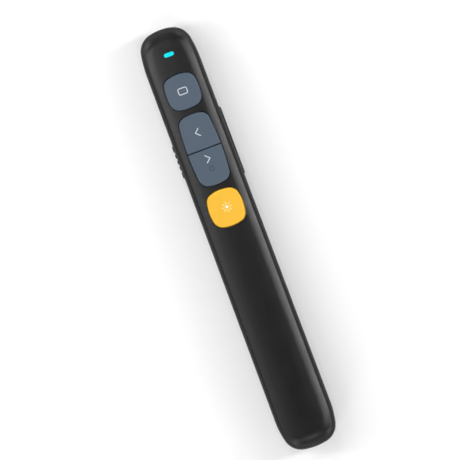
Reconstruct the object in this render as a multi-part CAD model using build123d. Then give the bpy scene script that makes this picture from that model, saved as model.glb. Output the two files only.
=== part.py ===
from build123d import *
from math import asin, cos, degrees, radians, sin, sqrt
import os

# Slim presentation clicker lying on its flat back, in millimetres.
# +Y points to the nose (laser end), +X to the right seen from above, +Z up, and the origin is on the
# surface it lies on, under the middle of the case.

# ---- case -------------------------------------------------------------------------------------------
case_length = 152.0
nose_width = 19.43  # the two straight sides, carried on to the nose tip
tail_width = 20.24  # the same, at the tail tip
case_wall = 1.6
crown_radius = 30.0  # cross curve of the top
shoulder_radius = 5.0  # from the crown round into the side
base_radius = 5.0  # from the side round under to the flat back
nose_end_radius = 16.45
nose_corner_radius = 6.74
nose_blend_radius = 46.0
nose_end_sweep = 14.4  # half angle of the end arc, degrees
tail_end_radius = 21.6
tail_corner_radius = 6.44
tail_blend_radius = 29.0
tail_end_sweep = 11.1

# ---- top cover --------------------------------------------------------------------------------------
rim_side = 1.35  # strip of the bottom housing that shows round the cover
rim_nose = 0.9
rim_tail = 1.1
seam_gap = 0.1
cover_depth = 3.6  # from the top of the case to the ledge that the cover sits on
cover_edge_round = 0.35
lip_depth = 1.2
lip_wall = 1.2
lip_shoulder = 0.6
lip_gap = 0.12
snap_length = 4.0
snap_height = 0.7
snap_reach = 0.35
snap_gap = 0.15
snap_shares = (0.8, 0.026, -0.316, -0.579, -0.816)  # of the way from the middle to the nose

# ---- keys -------------------------------------------------------------------------------------------
key_gap = 0.32
key_proud = 0.3
key_travel = 0.4
key_edge_round = 0.3
key_skin = 1.3
key_flange = 0.6
key_flange_depth = 0.7
key_stop_gap = 0.05
collar_wall = 0.8
collar_depth = 1.05  # how far a key's guide collar hangs below the inside of the crown
key_stem_radius = 1.5
screen_key_length = 12.3
screen_key_width = 11.8
screen_key_set = 22.58  # from the nose tip to the middle of the key, as for the other keys
page_key_length = 25.5
page_key_width = 12.0
page_key_set = 43.6
page_split_gap = 0.3
laser_key_length = 12.9
laser_key_width = 12.1
laser_key_set = 64.84
key_corner = 3.2
key_end_radius = 17.0
key_side_radius = 24.0

# ---- board and switches -----------------------------------------------------------------------------
board_depth = 5.4  # from the top of the case to the face of the board
board_thickness = 0.8
board_width = 13.4
board_nose_set = 6.0
board_cell_gap = 6.4  # from the nub of the cell to the board
board_corner = 3.0
chip_side = 4.0
chip_height = 0.85
chip_edge = 0.1
chip_set = 5.0  # from the tail of the board
crystal_length = 3.2
crystal_width = 2.5
crystal_height = 0.7
crystal_corner = 0.5
crystal_edge = 0.2
crystal_key_gap = 4.9  # from the middle of the laser key
passive_count = 5
passive_x = 4.6
passive_pitch = 1.5
passive_length = 1.6
passive_width = 0.8
tact_side = 4.5
tact_height = 1.2
tact_floor = 0.3
plunger_radius = 1.0
plunger_gap = 0.08
plunger_stand = 0.5  # plunger above its switch when the key is up
screw_shank_radius = 0.7
screw_head_radius = 1.25
screw_head_height = 0.7
screw_depth = 4.0
screw_slot = 0.3
screw_slot_share = 0.7  # of the head's width
screw_clearance = 0.2
boss_radius = 1.8
screw_spots = ((-4.7, 29.6), (4.7, 29.6), (0.0, 55.4))  # across, and from the nose tip

# ---- status light -----------------------------------------------------------------------------------
light_set = 9.08
light_length = 3.4
light_width = 1.3
light_fit = 0.06
light_flange = 0.5
light_flange_depth = 0.6
led_length = 1.6
led_width = 0.8
led_height = 0.6
led_edge = 0.1
light_led_gap = 0.5

# ---- laser ------------------------------------------------------------------------------------------
laser_drop = 1.4  # below half height
laser_barrel_radius = 3.0
laser_barrel_length = 12.0
laser_barrel_set = 3.8
laser_barrel_wall = 0.8
laser_barrel_edge = 0.27
lens_thickness = 1.6
lens_set_back = 0.8
lens_dome_radius = 4.0
diode_seat = 1.2
diode_flange_thickness = 0.8
diode_flange_radius = 2.1
diode_length = 3.4
diode_window_radius = 0.45
driver_length = 7.0
driver_width = 4.6
driver_thickness = 0.8
pin_side = 0.5
pin_pitch = 2.54
pin_set = 1.5  # from the nose end of the driver board
window_radius = 2.2
window_thickness = 0.95
window_set_back = 0.3
window_edge = 0.1
aperture_radius = 1.7
bond_gap = 0.05
cradle_thickness = 1.4
cradle_half_width = 4.4
cradle_sets = (13.6, 6.4)

# ---- side controls ----------------------------------------------------------------------------------
rocker_reach = 10.28  # how far the rocker stands from the middle plane
rocker_set = 43.85
rocker_length = 24.3
rocker_height = 3.4
rocker_gap = 0.2
rocker_edge_round = 0.4
rocker_flange = 0.7
rocker_flange_depth = 0.7
rocker_swing_gap = 0.3
rocker_pin_radius = 0.5
rocker_pin_fit = 0.05
rocker_lug_wall = 0.35
rocker_lug_height = 1.6
rocker_lug_gap = 0.12
rocker_lug_depth = 1.0  # from the back of the flange to the pin
rocker_ear_depth = 0.8
rocker_ear_length = 3.0
rocker_ear_gap = 0.3
rocker_ear_back = 1.0
rocker_pin_seat = 1.5  # how deep the pin stands in the lower ear
rocker_switch_spread = 8.5
rocker_switch_length = 4.2
rocker_switch_height = 2.6
rocker_switch_depth = 2.6
rocker_nub = 0.5
rocker_nub_gap = 0.2
knob_reach = 10.2  # how far the power switch stands from the middle plane
knob_set = 44.7
knob_length = 11.5
knob_height = 3.6
knob_travel = 2.5
knob_gap = 0.15
knob_corner = 0.9
knob_flange_depth = 0.8
knob_flange_rim = 0.8
knob_ridges = 5
knob_ridge_pitch = 2.15
knob_groove_width = 1.25
knob_groove_depth = 0.32
lever_width = 1.4
lever_height = 1.2
lever_fit = 0.1
lever_bite = 0.45
knob_switch_gap = 0.35
slide_switch_length = 8.6
slide_switch_height = 2.6
slide_switch_depth = 2.8

# ---- battery ----------------------------------------------------------------------------------------
cell_radius = 5.25
cell_length = 44.5
cell_nub_radius = 1.9
cell_nub_length = 0.9
cell_floor_gap = 0.3
cell_set = 10.1  # from the tail tip to the flat end
spring_length = 5.6
bay_gap = 0.2
bay_wall = 1.0
bay_rib_pitch = 10.0
spring_wire = 0.3  # radius
spring_base_radius = 3.9
spring_tip_radius = 2.2
spring_turns = 4
contact_thickness = 0.3
contact_width = 7.0
contact_height = 7.2
strap_width = 3.0
strap_gap = 0.05
tab_lap = 2.0
tab_width = 1.4
strap_room = 0.8  # between the roof of the bay and the cover

# ---- battery door -----------------------------------------------------------------------------------
door_width = 14.2
door_reach = 1.9  # how far the door reaches past the cell
door_lip = 4.6
door_gap = 0.15
door_travel = 7.0
tongue_length = 5.0
tongue_height = 0.8
tongue_reach = 0.8
tongue_root = 0.8
tongue_gap = 0.1
shelf_top = 3.2
shelf_thickness = 0.65
tongue_sets = (7.5, 26.5)  # back from the front edge of the door
door_groove_count = 5
door_groove_pitch = 1.6
door_groove_width = 0.7
door_groove_depth = 0.3
door_groove_length = 9.0
door_groove_set = 8.5

# ---- receiver ---------------------------------------------------------------------------------------
grip_set = 79.5  # from the nose tip to its free end
grip_length = 8.0
grip_width = 14.4
grip_height = 6.3
grip_lift = 0.1
grip_round = 0.8
plug_length = 12.5
plug_width = 12.0
plug_height = 4.5
plug_z = 0.9
plug_wall = 0.3
plug_corner = 0.45
plug_inset = 1.0
insert_thickness = 1.8
contact_strips = 4
strip_pitch = 2.4
strip_width = 1.1
strip_length = 7.0
strip_thickness = 0.15
strip_set = 1.2  # back from the end of the plug
plug_window = 2.0
plug_window_x = 2.5
plug_window_set = 5.0
pocket_gap = 0.2
pocket_wall = 1.1
pocket_roof = 1.3
magnet_radius = 2.5
magnet_thickness = 1.2
magnet_gap = 0.05
scoop_radius = 9.0
scoop_depth = 1.5
scoop_length = 10.0
rest_sets = (2.5, 16.5)  # ribs under the board, from the free end of the grip
through = 1.0  # how far a cut runs past the face that it opens

# ---- sizes worked out from those above --------------------------------------------------------------
nose_tip = case_length / 2
tail_tip = -case_length / 2
cell_z = case_wall + cell_floor_gap + cell_radius
bay_inside = cell_radius + bay_gap
bay_outside = bay_inside + bay_wall
bay_top = cell_z + bay_outside
case_height = bay_top + strap_room + case_wall
cell_tail = tail_tip + cell_set
cell_nose = cell_tail + cell_length
cover_ledge = case_height - cover_depth
snap_places = [share * nose_tip for share in snap_shares]
screen_key_y = nose_tip - screen_key_set
page_key_y = nose_tip - page_key_set
laser_key_y = nose_tip - laser_key_set
light_y = nose_tip - light_set
side_z = case_height / 2
laser_z = side_z - laser_drop
laser_barrel_nose = nose_tip - laser_barrel_set
rocker_y = nose_tip - rocker_set
knob_y = nose_tip - knob_set
board_top = case_height - board_depth
board_base = board_top - board_thickness
board_nose = nose_tip - board_nose_set
board_tail = cell_nose + board_cell_gap
chip_y = board_tail + chip_set
crystal_y = laser_key_y + crystal_key_gap
screw_places = [(x, nose_tip - back) for x, back in screw_spots]
door_front = cell_nose + door_reach
tongue_places = [door_front - back for back in tongue_sets]
grip_tail = nose_tip - grip_set
tact_top = board_top + tact_height
stem_base = tact_top + plunger_stand
collar_base = case_height - case_wall - collar_depth
flange_top = collar_base - key_stop_gap
pocket_top = grip_lift + grip_height + pocket_gap
lip_inside = case_wall + lip_gap + lip_wall
far = 4 * case_length


def side_line_x(y):
    """Half width of the straight sides at y."""
    share = (nose_tip - y) / case_length
    return (nose_width + (tail_width - nose_width) * share) / 2


def arc_round(centre, start, finish):
    """Arc about a centre from start to finish, the short way."""
    middle = ((start - centre).normalized() + (finish - centre).normalized()).normalized()
    return ThreePointArc(start, centre + middle * (start - centre).length, finish)


def end_arcs(inward, end_radius, corner_radius, blend_radius, sweep, end_inset, side_inset):
    """End arc's right-hand finish, the corner arc, the blend arc and where the straight side starts.

    Every arc is tangent to the next, and the last one to the straight side."""
    tip_y = (tail_tip + end_inset) if inward > 0 else (nose_tip - end_inset)
    end_r = end_radius - end_inset
    corner_r = corner_radius - end_inset
    blend_r = blend_radius - side_inset
    angle = radians(sweep)
    end_centre = Vector(0, tip_y + inward * end_r)
    outward = Vector(sin(angle), -inward * cos(angle))
    corner_centre = end_centre + outward * (end_r - corner_r)
    end_finish = end_centre + outward * end_r
    along = Vector(side_line_x(inward) - side_line_x(0), inward).normalized()
    normal = Vector(abs(along.Y), -along.X * inward)
    start = Vector(side_line_x(0), 0) - normal * (side_inset + blend_r) - corner_centre
    reach = start.dot(along)
    root = reach**2 - start.length**2 + (blend_r - corner_r) ** 2
    blend_centre = corner_centre + start + along * (sqrt(root) - reach)
    corner_finish = corner_centre + (corner_centre - blend_centre).normalized() * corner_r
    side_start = blend_centre + normal * blend_r
    corner = arc_round(corner_centre, end_finish, corner_finish)
    blend = arc_round(blend_centre, corner_finish, side_start)
    return end_finish, corner, blend, side_start


def case_outline(side_inset, nose_inset, tail_inset):
    """Plan outline of the case, set in from its silhouette."""
    nose = end_arcs(
        -1, nose_end_radius, nose_corner_radius, nose_blend_radius, nose_end_sweep, nose_inset, side_inset
    )
    tail = end_arcs(
        1, tail_end_radius, tail_corner_radius, tail_blend_radius, tail_end_sweep, tail_inset, side_inset
    )
    right = [nose[1], nose[2], Line(nose[3], tail[3]), tail[2], tail[1]]
    left = [edge.mirror(Plane.YZ) for edge in right]
    ends = []
    for finish, tip in ((nose[0], nose_tip - nose_inset), (tail[0], tail_tip + tail_inset)):
        ends.append(ThreePointArc((-finish.X, finish.Y), (0, tip), (finish.X, finish.Y)))
    edges = [edge for curve in right + left + ends for edge in curve.edges()]
    return Face(Wire(edges))


def between(face, low, high):
    """A plan face as a prism between two heights."""
    return Pos(0, 0, low) * extrude(face, high - low, dir=(0, 0, 1))


def block(x_low, x_high, y_low, y_high, z_low, z_high):
    """A plain box between two corners, for cuts, ribs and walls."""
    size = Box(x_high - x_low, y_high - y_low, z_high - z_low, align=Align.MIN)
    return Pos(x_low, y_low, z_low) * size


def crown(offset):
    """Everything under the crown of the top, raised by an offset."""
    barrel = Cylinder(crown_radius + offset, 2 * case_length, rotation=(90, 0, 0))
    return Pos(0, 0, case_height - crown_radius) * barrel


def case_form(inset):
    """The whole case as one solid, shrunk by an inset on every side."""
    plan = between(case_outline(inset, inset, inset), inset, case_height)
    form = plan & crown(-inset)
    top_edges = form.faces().sort_by(Axis.Z)[-1].edges()
    form = fillet(top_edges, shoulder_radius - inset)
    base_edges = form.faces().sort_by(Axis.Z)[0].edges()
    return fillet(base_edges, base_radius - inset)


def key_outline(key_length, key_width, side_bow, middle_y, grow):
    """A key's outline, grown all round: four gently bowed sides with round corners."""
    half_x, half_y = key_width / 2 + grow, key_length / 2 + grow
    end_radius, side_radius = key_end_radius + grow, side_bow + grow
    end_drop = end_radius - sqrt(end_radius**2 - half_x**2)
    side_drop = side_radius - sqrt(side_radius**2 - half_y**2)
    x, y = half_x - side_drop, half_y - end_drop
    sides = [
        ThreePointArc((-x, y), (0, half_y), (x, y)),
        ThreePointArc((x, y), (half_x, 0), (x, -y)),
        ThreePointArc((x, -y), (0, -half_y), (-x, -y)),
        ThreePointArc((-x, -y), (-half_x, 0), (-x, y)),
    ]
    face = Face(Wire([edge for side in sides for edge in side.edges()]))
    return Pos(0, middle_y, 0) * fillet(face.vertices(), key_corner + grow)


outer = case_form(0)
middle = case_form(case_wall / 2)
inner = case_form(case_wall)


def rod_y(radius, y_low, y_high, x, z):
    """A round bar along Y."""
    bar = Cylinder(radius, y_high - y_low, rotation=(90, 0, 0))
    return Pos(x, (y_low + y_high) / 2, z) * bar


def rod_x(radius, x_low, x_high, y, z):
    """A round bar along X."""
    bar = Cylinder(radius, x_high - x_low, rotation=(0, 90, 0))
    return Pos((x_low + x_high) / 2, y, z) * bar


def rod_z(radius, x, y, z_low, z_high):
    """An upright round bar."""
    return Pos(x, y, (z_low + z_high) / 2) * Cylinder(radius, z_high - z_low)


def side_prism(face, x_low, x_high, y, z):
    """A face drawn on the side of the case (length along Y, height along Z), run along X."""
    plane = Plane(origin=(x_low, y, z), x_dir=(0, 1, 0), z_dir=(1, 0, 0))
    return extrude(plane * face, x_high - x_low)


def both_sides(solid):
    return solid + solid.mirror(Plane.YZ)


# ---- outlines of what comes through the top cover ---------------------------------------------------
def screen_outline(grow):
    return key_outline(screen_key_length, screen_key_width, key_side_radius, screen_key_y, grow)


def laser_outline(grow):
    return key_outline(laser_key_length, laser_key_width, key_side_radius, laser_key_y, grow)


def pages_outline(grow):
    """One long pill, split across into two keys."""
    side_radius = key_side_radius * (page_key_length / page_key_width) ** 2
    return key_outline(page_key_length, page_key_width, side_radius, page_key_y, grow)


def page_up_outline(grow):
    return pages_outline(grow) & page_zone(1, grow)


def page_down_outline(grow):
    return pages_outline(grow) & page_zone(-1, grow)


def page_zone(side, grow):
    """One key's share of the pill; what grows on it stays behind the split line."""
    length = page_half + max(grow, 0)
    y = page_key_y + side * (page_split_gap + length) / 2
    inset = min(grow, 0)
    return Pos(0, y - side * inset, 0) * Rectangle(2 * page_key_width, length)


def light_outline(grow):
    return Pos(0, light_y, 0) * SlotOverall(light_length + 2 * grow, light_width + 2 * grow)


page_half = (page_key_length - page_split_gap) / 2
page_up_y = page_key_y + (page_split_gap + page_half) / 2
page_down_y = page_key_y - (page_split_gap + page_half) / 2
key_places = (screen_key_y, page_up_y, page_down_y, laser_key_y)


# ---- top cover --------------------------------------------------------------------------------------
def cover_cap():
    """The part of the case outside that the cover fills, with its edge eased at the seam."""
    zone = between(case_outline(rim_side, rim_nose, rim_tail), cover_ledge, case_height)
    cap = outer & zone
    walls = [face for face in cap.faces() if abs(face.normal_at().Z) < 0.01]
    seam = []
    for wall in walls:
        for edge in wall.edges():
            above = edge.center().Z > cover_ledge + cover_edge_round
            if above and abs(edge.tangent_at(0.5).Z) < 0.7:
                seam.append(edge)
    return fillet(seam, cover_edge_round)


def cover_lip():
    """The wall under the cover's edge that centres it inside the bottom housing."""
    gap = case_wall + lip_gap
    ring = case_form(gap) & block(-far, far, -far, far, cover_ledge - lip_depth, cover_ledge)
    zone = case_outline(rim_side, rim_nose, rim_tail)
    ring += middle & between(zone, cover_ledge, cover_ledge + lip_shoulder)
    return ring - between(case_outline(lip_inside, lip_inside, lip_inside), 0, case_height)


def snap_hooks(grow):
    """Catches along both sides of the cover's lip, or with grow their pockets in the housing."""
    z_low = cover_ledge - lip_depth - grow
    hooks = []
    for y in snap_places:
        wall_x = side_line_x(y) - case_wall - lip_gap
        half = snap_length / 2 + grow
        hooks.append(
            both_sides(
                block(
                    wall_x - lip_wall / 2,
                    wall_x + snap_reach + grow / 2,
                    y - half,
                    y + half,
                    z_low,
                    z_low + snap_height + 2 * grow,
                )
            )
        )
    return hooks


def top_cover():
    cover = cover_cap() - inner + cover_lip()
    for hook in snap_hooks(0):
        cover += hook
    outlines = (screen_outline, pages_outline, laser_outline)
    for outline in outlines:
        collar = between(outline(key_gap + collar_wall), collar_base, case_height)
        cover += collar & middle
    for outline in outlines:
        cover -= between(outline(key_gap), board_top, 2 * case_height)
    return cover - between(light_outline(light_fit), board_top, 2 * case_height)


# ---- keys -------------------------------------------------------------------------------------------
def key_cap(outline, y):
    """A key: crowned cap, stop flange, hollow underside, centre stem and two stiffening ribs."""
    foot = flange_top - key_flange_depth
    cap = between(outline(0), foot, 2 * case_height) & crown(key_proud)
    cap = fillet(cap.faces().sort_by(Axis.Z)[-1].edges(), key_edge_round)
    hollow = between(outline(-key_skin), 0, 2 * case_height) & crown(key_proud - key_skin)
    rim = between(outline(key_flange), foot, flange_top)
    stem = rod_z(key_stem_radius, 0, y, stem_base, case_height + key_proud - key_skin / 2)
    rib = rib_pair(y) & hollow
    return cap + rim - hollow + stem + rib


def rib_pair(y):
    half = key_skin / 4
    low = flange_top
    along = block(-half, half, y - far, y + far, low, case_height)
    across = block(-far, far, y - half, y + half, low, case_height)
    return along + across


def key_plunger(y):
    foot = board_top + tact_floor + key_travel + key_stop_gap
    return rod_z(plunger_radius, 0, y, foot, stem_base)


def key_switches():
    switches = []
    for y in key_places:
        half = tact_side / 2
        body = block(-half, half, y - half, y + half, board_top, tact_top)
        body -= rod_z(plunger_radius + plunger_gap, 0, y, board_top + tact_floor, 2 * case_height)
        switches.append(body)
    return Compound(switches)


# ---- board ------------------------------------------------------------------------------------------
def main_board():
    half = board_width / 2
    board = block(-half, half, board_tail, board_nose, board_base, board_top)
    corners = board.edges().filter_by(Axis.Z).group_by(Axis.Y)[-1]
    board = fillet(corners, board_corner)
    for x, y in screw_places:
        board -= rod_z(screw_shank_radius + screw_clearance, x, y, 0, case_height)
    for x in (-pin_pitch / 2, pin_pitch / 2):
        board -= rod_z(pin_side, x, laser_pin_y, 0, case_height)
    return board


def board_screws():
    screws = []
    slot_length = 2 * screw_head_radius * screw_slot_share
    for x, y in screw_places:
        head = rod_z(screw_head_radius, x, y, board_top, board_top + screw_head_height)
        head = fillet(head.edges().group_by(Axis.Z)[-1], screw_slot)
        for slot in (
            Box(slot_length, screw_slot, screw_head_height),
            Box(screw_slot, slot_length, screw_head_height),
        ):
            head -= Pos(x, y, board_top + screw_head_height) * slot
        screws.append(head + rod_z(screw_shank_radius, x, y, board_top - screw_depth, board_top))
    return Compound(screws)


def radio_chip():
    half = chip_side / 2
    chip = block(-half, half, chip_y - half, chip_y + half, board_top, board_top + chip_height)
    return chamfer(chip.edges().group_by(Axis.Z)[-1], chip_edge)


def crystal():
    outline = RectangleRounded(crystal_length, crystal_width, crystal_corner)
    can = Pos(0, crystal_y, board_top) * extrude(outline, crystal_height)
    return fillet(can.edges().group_by(Axis.Z)[-1], crystal_edge)


def board_parts():
    """Small resistors and capacitors in two rows beside the radio chip."""
    parts = []
    for side in (-1, 1):
        for index in range(passive_count):
            x = side * passive_x
            y = chip_y + (index - (passive_count - 1) / 2) * passive_pitch
            parts.append(
                block(
                    x - passive_length / 2,
                    x + passive_length / 2,
                    y - passive_width / 2,
                    y + passive_width / 2,
                    board_top,
                    board_top + passive_width,
                )
            )
    return Compound(parts)


# ---- status light -----------------------------------------------------------------------------------
def status_led():
    half_x, half_y = led_length / 2, led_width / 2
    led = block(-half_x, half_x, light_y - half_y, light_y + half_y, board_top, board_top + led_height)
    return chamfer(led.edges().group_by(Axis.Z)[-1], led_edge)


def light_window():
    foot = board_top + led_height + light_led_gap
    flange_high = (inner & rod_z(light_width / 4, light_length / 2 + light_flange, light_y, 0, far))
    top = flange_high.bounding_box().max.Z - light_fit
    stalk = between(light_outline(0), foot, 2 * case_height) & outer
    return stalk + between(light_outline(light_flange), top - light_flange_depth, top)


# ---- laser ------------------------------------------------------------------------------------------
laser_barrel_tail = laser_barrel_nose - laser_barrel_length
driver_nose = laser_barrel_tail - bond_gap
laser_pin_y = driver_nose - pin_set


def laser_barrel():
    barrel = rod_y(laser_barrel_radius, laser_barrel_tail, laser_barrel_nose, 0, laser_z)
    barrel = chamfer(barrel.edges(), laser_barrel_edge)
    bore = laser_barrel_radius - laser_barrel_wall
    seat = laser_barrel_nose - lens_set_back - lens_thickness
    barrel -= rod_y(bore, seat, far, 0, laser_z)
    barrel -= rod_y(bore - laser_barrel_wall, -far, far, 0, laser_z)
    return barrel - rod_y(diode_flange_radius, -far, laser_barrel_tail + diode_seat, 0, laser_z)


def laser_lens():
    radius = laser_barrel_radius - laser_barrel_wall
    finish = laser_barrel_nose - lens_set_back
    lens = rod_y(radius, finish - lens_thickness, finish, 0, laser_z)
    ball = Pos(0, finish - lens_dome_radius, laser_z) * Sphere(lens_dome_radius)
    return lens & ball


def laser_diode():
    """A small can with its flange, seated in the back of the barrel."""
    flange_nose = laser_barrel_tail + diode_seat
    flange = rod_y(diode_flange_radius, flange_nose - diode_flange_thickness, flange_nose, 0, laser_z)
    can_radius = laser_barrel_radius - 2 * laser_barrel_wall - bond_gap
    can = rod_y(can_radius, flange_nose, flange_nose + diode_length, 0, laser_z)
    window = rod_y(diode_window_radius, flange_nose + diode_length / 2, far, 0, laser_z)
    return flange + can - window


def laser_driver():
    """The laser's own little board, edge on behind the diode."""
    half = driver_width / 2
    low = laser_z - driver_thickness / 2
    board = block(-half, half, driver_nose - driver_length, driver_nose, low, low + driver_thickness)
    for x in (-pin_pitch / 2, pin_pitch / 2):
        board -= rod_z(pin_side, x, laser_pin_y, 0, case_height)
    return board


def laser_pins():
    half = pin_side / 2
    low, high = laser_z - driver_thickness, board_top + pin_side
    pins = []
    for x in (-pin_pitch / 2, pin_pitch / 2):
        pins.append(block(x - half, x + half, laser_pin_y - half, laser_pin_y + half, low, high))
    return Compound(pins)


def nose_window():
    nose = nose_tip - window_set_back
    disc = rod_y(window_radius, nose - window_thickness, nose, 0, laser_z)
    return chamfer(disc.edges().group_by(Axis.Y)[-1], window_edge)


# ---- volume rocker ----------------------------------------------------------------------------------
rocker_wall_x = side_line_x(rocker_y) - case_wall
rocker_flange_x = rocker_wall_x - rocker_swing_gap
rocker_back_x = rocker_flange_x - rocker_flange_depth
rocker_axis_x = rocker_back_x - rocker_lug_depth
lug_round = rocker_pin_radius + rocker_pin_fit + rocker_lug_wall
rocker_pin_foot = side_z - rocker_lug_height / 2 - rocker_lug_gap - rocker_pin_seat


def volume_rocker():
    face = SlotOverall(rocker_length, rocker_height)
    bar = side_prism(face, rocker_flange_x, rocker_reach, rocker_y, side_z)
    bar = fillet(bar.faces().sort_by(Axis.X)[-1].edges(), rocker_edge_round)
    plate = SlotOverall(rocker_length + 2 * rocker_flange, rocker_height + 2 * rocker_flange)
    rocker = bar + side_prism(plate, rocker_back_x, rocker_flange_x, rocker_y, side_z)
    low, high = side_z - rocker_lug_height / 2, side_z + rocker_lug_height / 2
    lug = rod_z(lug_round, rocker_axis_x, rocker_y, low, high)
    lug += block(rocker_axis_x, rocker_back_x, rocker_y - lug_round, rocker_y + lug_round, low, high)
    return rocker + lug - rod_z(rocker_pin_radius + rocker_pin_fit, rocker_axis_x, rocker_y, 0, case_height)


def rocker_bracket():
    """A post of the housing with two ears that hold the rocker's pin."""
    half = rocker_ear_length / 2
    back = rocker_axis_x - lug_round - rocker_ear_gap - rocker_ear_back
    front = rocker_axis_x + rocker_ear_depth
    post = block(back, front, rocker_y - half, rocker_y + half, case_wall / 2, board_base - seam_gap)
    gap = rocker_lug_height / 2 + rocker_lug_gap
    slot_back = rocker_axis_x - lug_round - rocker_ear_gap
    post -= block(slot_back, far, -far, far, side_z - gap, side_z + gap)
    return post - rod_z(rocker_pin_radius + bond_gap / 2, rocker_axis_x, rocker_y, rocker_pin_foot, far)


def rocker_pin():
    pin = rod_z(rocker_pin_radius, rocker_axis_x, rocker_y, rocker_pin_foot, board_base - seam_gap)
    return chamfer(pin.edges(), rocker_pin_radius / 5)


def rocker_switches():
    """Two side-acting switches under the board's right edge, one for each end of the rocker."""
    switches = []
    face_x = rocker_back_x - rocker_nub_gap - rocker_nub
    for side in (-1, 1):
        y = rocker_y + side * rocker_switch_spread
        half = rocker_switch_length / 2
        low = board_base - rocker_switch_height
        body = block(face_x - rocker_switch_depth, face_x, y - half, y + half, low, board_base)
        switches.append(body + rod_x(rocker_nub, face_x, face_x + rocker_nub, y, side_z))
    return Compound(switches)


# ---- power switch -----------------------------------------------------------------------------------
knob_wall_x = side_line_x(knob_y) - case_wall
knob_flange_x = knob_wall_x - seam_gap
knob_back_x = knob_flange_x - knob_flange_depth
knob_slot_length = knob_length + knob_travel + 2 * knob_gap
knob_slot_y = knob_y + knob_travel / 2
switch_face_x = knob_back_x - knob_switch_gap


def power_knob():
    cap = side_prism(
        RectangleRounded(knob_length, knob_height, knob_corner), -knob_reach, -knob_flange_x, knob_y, side_z
    )
    cap = fillet(cap.faces().sort_by(Axis.X)[0].edges(), knob_groove_depth)
    scallop = (knob_groove_width / 2) ** 2 / (2 * knob_groove_depth) + knob_groove_depth / 2
    for index in range(knob_ridges - 1):
        y = knob_y + (index - (knob_ridges - 2) / 2) * knob_ridge_pitch
        x = -knob_reach - scallop + knob_groove_depth
        cap -= rod_z(scallop, x, y, 0, case_height)
    plate_length = knob_slot_length + knob_travel + 2 * knob_flange_rim
    plate = RectangleRounded(plate_length, knob_height + 2 * knob_flange_rim, knob_corner)
    knob = cap + side_prism(plate, -knob_flange_x, -knob_back_x, knob_y, side_z)
    half_y, half_z = lever_width / 2 + bond_gap, lever_height / 2 + bond_gap
    return knob - block(
        -knob_back_x - lever_bite, far, knob_y - half_y, knob_y + half_y, side_z - half_z, side_z + half_z
    )


def slide_lever():
    half_y, half_z = lever_width / 2, lever_height / 2
    inside = -switch_face_x + slide_switch_depth / 2
    reach = -knob_back_x - lever_bite + bond_gap
    return block(reach, inside, knob_y - half_y, knob_y + half_y, side_z - half_z, side_z + half_z)


def slide_switch():
    half = slide_switch_length / 2
    y = knob_slot_y
    low = board_base - slide_switch_height
    body = block(
        -switch_face_x, -switch_face_x + slide_switch_depth, y - half, y + half, low, board_base
    )
    slot_y = (lever_width + knob_travel) / 2 + lever_fit
    slot_z = lever_height / 2 + lever_fit
    slot_depth = slide_switch_depth / 2 + lever_fit
    return body - block(
        -far, -switch_face_x + slot_depth, y - slot_y, y + slot_y, side_z - slot_z, side_z + slot_z
    )


# ---- battery ----------------------------------------------------------------------------------------
bay_foot = door_lip + door_gap
bay_tail = cell_tail - spring_length - contact_thickness
bay_nose = cell_nose + contact_thickness


def arch(radius, y_low, y_high, foot):
    """A tunnel section over the cell: half round on top, straight down to its foot."""
    tunnel = rod_y(radius, y_low, y_high, 0, cell_z) & block(-far, far, -far, far, cell_z, far)
    return tunnel + block(-radius, radius, y_low, y_high, foot, cell_z)


def battery_cell():
    body = rod_y(cell_radius, cell_tail, cell_nose - cell_nub_length, 0, cell_z)
    body = fillet(body.edges(), cell_nub_length / 2)
    return body + rod_y(cell_nub_radius, cell_nose - 2 * cell_nub_length, cell_nose, 0, cell_z)


def battery_spring():
    """A conical coil that presses on the flat end of the cell."""
    start_y = bay_tail + contact_thickness + spring_wire
    pitch = (spring_length - 2 * spring_wire) / spring_turns
    cone = (spring_base_radius - spring_tip_radius) / (spring_turns * pitch)
    angle = -degrees(asin(cone / sqrt(1 + cone**2)))
    path = Helix(pitch, spring_turns * pitch, spring_base_radius, cone_angle=angle)
    section = Plane(origin=path @ 0, z_dir=path % 0) * Circle(spring_wire)
    coil = sweep(section, path)
    return Pos(0, start_y, cell_z) * Rot(-90, 0, 0) * coil


def spring_plate():
    half = contact_width / 2
    low = cell_z - contact_height / 2
    front = bay_tail + contact_thickness
    plate = block(-half, half, bay_tail, front, low, cell_z + contact_height / 2)
    neck = strap_width / 2
    return plate + block(-neck, neck, bay_tail, front, cell_z, bay_top + strap_gap)


def battery_strap():
    """The flat strip that runs from the spring plate over the bay to the board."""
    half = strap_width / 2
    low = bay_top + strap_gap
    high = low + contact_thickness
    front = board_tail + tab_lap
    strip = block(-half, half, bay_tail, bay_nose + bay_wall + contact_thickness + strap_gap, low, high)
    drop_y = bay_nose + bay_wall + strap_gap
    strip += block(-half, half, drop_y, drop_y + contact_thickness, board_top, high)
    strip += block(half - tab_width, half, drop_y, front, board_top, board_top + contact_thickness)
    return strip


def battery_contact():
    half = contact_width / 2
    plate = block(-half, half, cell_nose, bay_nose, cell_z - contact_height / 2, cell_z + contact_height / 2)
    low = board_top - contact_thickness - board_thickness
    x = -contact_width / 2
    tab = block(x, x + tab_width, cell_nose, board_tail + tab_lap, low, low + contact_thickness)
    return plate + tab


# ---- battery door -----------------------------------------------------------------------------------
def door_zone(gap):
    half = door_width / 2 + gap
    return block(-half, half, -far, door_front + gap, -through, door_lip + gap)


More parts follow.
